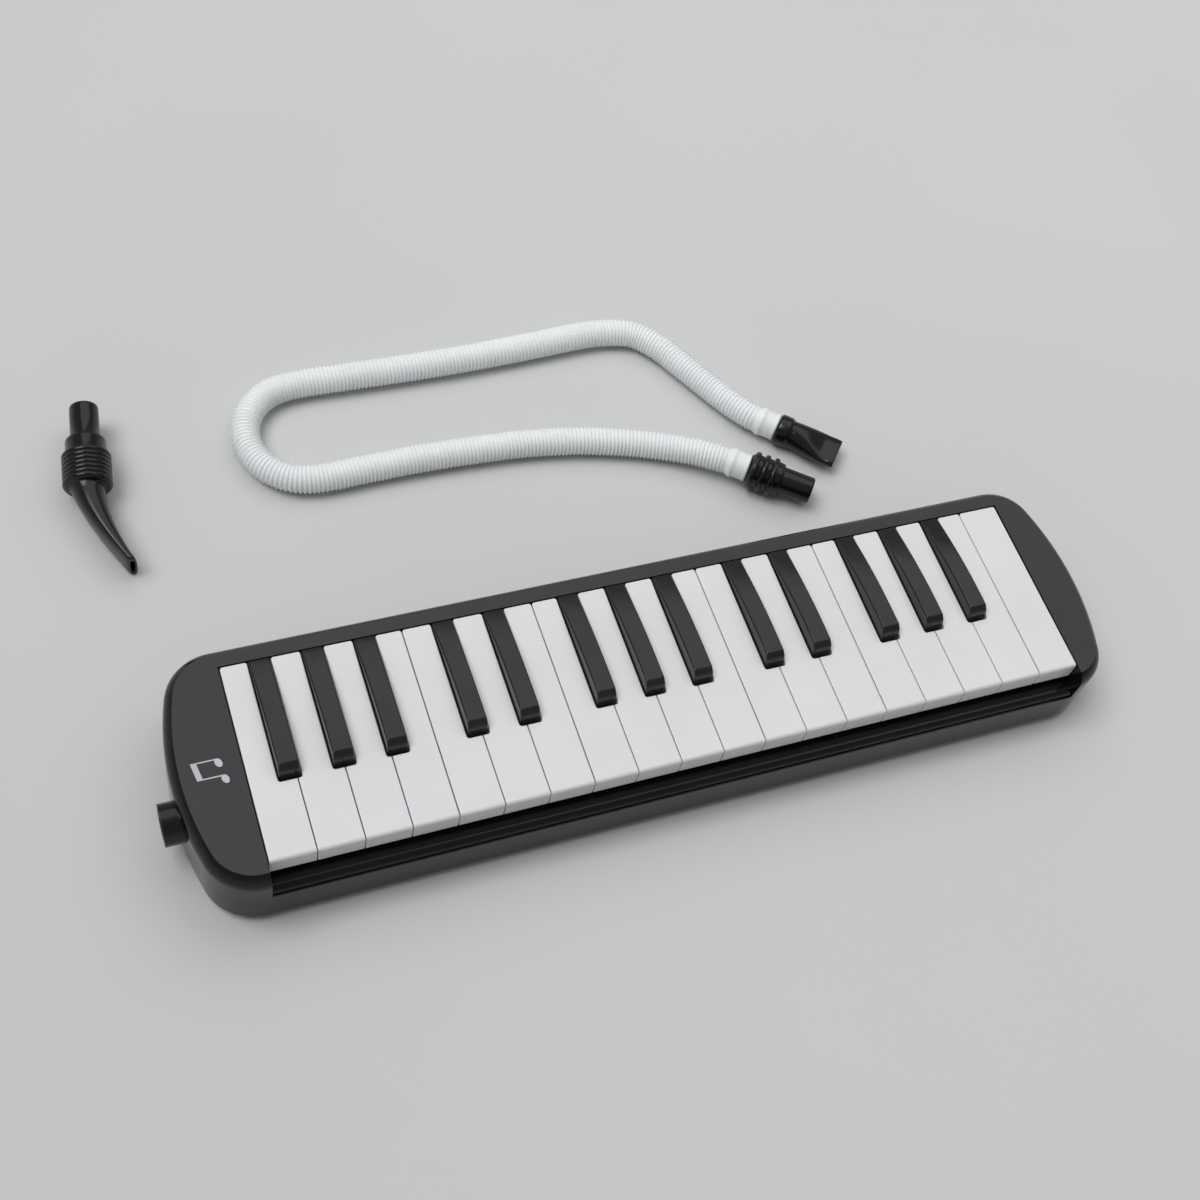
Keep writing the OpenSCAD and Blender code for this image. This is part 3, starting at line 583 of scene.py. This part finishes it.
def rounded_copy(node, name, steps, body, slot):
    """A copy of a CAD node with its edges rounded, one (width, segments, choose) after another."""
    source = frame["nodes"][node]
    bm = bmesh.new()
    bm.from_mesh(source.data)
    bmesh.ops.remove_doubles(bm, verts=bm.verts, dist=1e-6)
    bmesh.ops.dissolve_limit(bm, angle_limit=math.radians(0.2), verts=bm.verts, edges=bm.edges)
    for width, segments, choose in steps:
        round_edges(bm, width, segments, choose)
    mesh = bpy.data.meshes.new(name)
    bm.to_mesh(mesh)
    bm.free()
    shade(mesh, 35)
    piece = add_piece(name, mesh, MATERIALS[slot], body)
    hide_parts(node)
    weighted = piece.modifiers.new("weighted_normals", "WEIGHTED_NORMAL")
    weighted.keep_sharp = True
    return piece


def upright(a, b):
    """Whether an edge stands straight up and reaches the height of the cover's top."""
    return abs(a.x - b.x) < NEAR and abs(a.y - b.y) < NEAR and max(a.z, b.z) > COVER_TOP - NEAR


def on_top(a, b):
    """Whether both ends of an edge are level with the cover's top or above it."""
    return min(a.z, b.z) > COVER_TOP - NEAR


def add_white_key(node):
    """Rounds the notch and rear corners, the front's top edge, then the front corners and the top."""
    front_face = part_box(node)[0].y

    def notch(a, b, edge):
        return upright(a, b) and (not edge.is_convex or a.y > KEY_TAIL - NEAR)

    def front(a, b, edge):
        return edge.is_convex and max(a.y, b.y) < front_face + NEAR and on_top(a, b)

    def sides(a, b, edge):
        at_corner = upright(a, b) and max(a.y, b.y) < front_face + NEAR
        return edge.is_convex and (on_top(a, b) or at_corner)

    steps = [(0.0011, 4, notch), (0.0014, 6, front), (0.0006, 4, sides)]
    rounded_copy(node, "white_" + node, steps, node, "white_keys")


def add_black_key(node):
    """Rounds the shoulders, the front corners and the slope at the front."""
    def shoulder(a, b, edge):
        return edge.is_convex and on_top(a, b) and max(a.z, b.z) > COVER_TOP + 10 * NEAR

    rounded_copy(node, "black_" + node, [(0.0008, 4, shoulder)], node, "black_keys")


for key in WHITE_KEYS:
    add_white_key(key)
for key in BLACK_KEYS:
    add_black_key(key)


# ---- Printed mark ------------------------------------------------------------------------------

def add_mark():
    """Two beamed notes, lying on the bass cap with their tops towards the bass end."""
    tilt = math.radians(20)
    start, end, steps = 32, 360, 30
    thick = 0.04

    def head(cx, cy):
        """An oval head, open at the side where its stem stands."""
        points = []
        for i in range(steps + 1):
            a = math.radians(start + (end - start) * i / steps)
            x, y = 2.1 * math.cos(a), 1.45 * math.sin(a)
            points.append((cx + x * math.cos(tilt) - y * math.sin(tilt),
                           cy + x * math.sin(tilt) + y * math.cos(tilt)))
        return points

    left = head(-4.4, -5.4)
    right = head(3.2, -4.2)
    outline = left + [(left[-1][0], 3.3), (right[0][0], 4.5)] + right
    outline += [(right[-1][0], 6.9), (left[0][0], 5.6)]
    centre = Vector((-0.1965, -0.002, COVER_TOP))
    bm = bmesh.new()
    face = bm.faces.new([bm.verts.new(centre + Vector((-y * MM, x * MM, 0))) for x, y in outline])
    solid = bmesh.ops.extrude_face_region(bm, geom=[face])
    for v in solid["geom"]:
        if isinstance(v, bmesh.types.BMVert):
            v.co.z += thick * MM
    bmesh.ops.recalc_face_normals(bm, faces=bm.faces)
    bmesh.ops.triangulate(bm, faces=bm.faces)
    mesh = bpy.data.meshes.new("printed_mark")
    bm.to_mesh(mesh)
    bm.free()
    add_piece("printed_mark", mesh, PRINT, "instrument")


add_mark()


# ---- Everything else keeps its CAD shape -------------------------------------------------------

for part in frame["record"]["subparts"]:
    node = frame["nodes"][part["node"]]
    node.data.materials.clear()
    node.data.materials.append(MATERIALS[part["material_slot"]])
    shade(node.data, 30)


# ---- Floor and light ---------------------------------------------------------------------------

def add_floor():
    """A plain pale floor, far wider than any view."""
    bpy.ops.mesh.primitive_plane_add(size=40)
    floor = bpy.context.object
    floor.name = "floor"
    n = Nodes("floor")
    colour = n.mix(n.ramp(n.noise(3, 3), 0.3, 0.7, 0, 1), (0.60, 0.60, 0.605), (0.62, 0.62, 0.625))
    n.set(Roughness=0.9, Specular_IOR_Level=0.2)
    floor.data.materials.append(n.finish(colour))


def aim(lamp, direction):
    """Turns a lamp to shine along direction."""
    lamp.rotation_mode = "QUATERNION"
    lamp.rotation_quaternion = Vector(direction).to_track_quat("-Z", "Y")


def add_softbox(at, towards, size, watts):
    """A large panel behind the instrument, which the gloss reflects."""
    data = bpy.data.lights.new("top_softbox", "AREA")
    data.shape = "RECTANGLE"
    data.size, data.size_y = size
    data.energy = watts
    lamp = bpy.data.objects.new("top_softbox", data)
    bpy.context.scene.collection.objects.link(lamp)
    lamp.location = at
    aim(lamp, Vector(towards) - Vector(at))


def add_overhead(direction, strength, spread):
    """Even light from high on the left, as soft as a large diffuser."""
    data = bpy.data.lights.new("overhead", "SUN")
    data.energy = strength
    data.angle = math.radians(spread)
    lamp = bpy.data.objects.new("overhead", data)
    bpy.context.scene.collection.objects.link(lamp)
    aim(lamp, direction)


def add_sky():
    """A pale studio: brighter round the horizon than overhead."""
    world = bpy.data.worlds.new("studio")
    world.use_nodes = True
    tree = world.node_tree
    place = tree.nodes.new("ShaderNodeTexCoord")
    split = tree.nodes.new("ShaderNodeSeparateXYZ")
    height = tree.nodes.new("ShaderNodeMapRange")
    height.interpolation_type = "SMOOTHSTEP"
    limits = {"From Min": 0.04, "From Max": 0.4, "To Min": 0.52, "To Max": 0.27}
    for name, number in limits.items():
        height.inputs[name].default_value = number
    tree.links.new(place.outputs["Generated"], split.inputs[0])
    tree.links.new(split.outputs["Z"], height.inputs["Value"])
    background = tree.nodes["Background"]
    background.inputs["Color"].default_value = (0.97, 0.985, 1.0, 1)
    tree.links.new(height.outputs["Result"], background.inputs["Strength"])
    bpy.context.scene.world = world
    bpy.context.scene.view_settings.view_transform = "Standard"


add_floor()
add_softbox((0.45, 0.75, 1.6), (0.1, 0.1, 0), (2.4, 1.5), 12)
add_overhead((0.45, -0.1, -1.0), 1.5, 36)
add_sky()
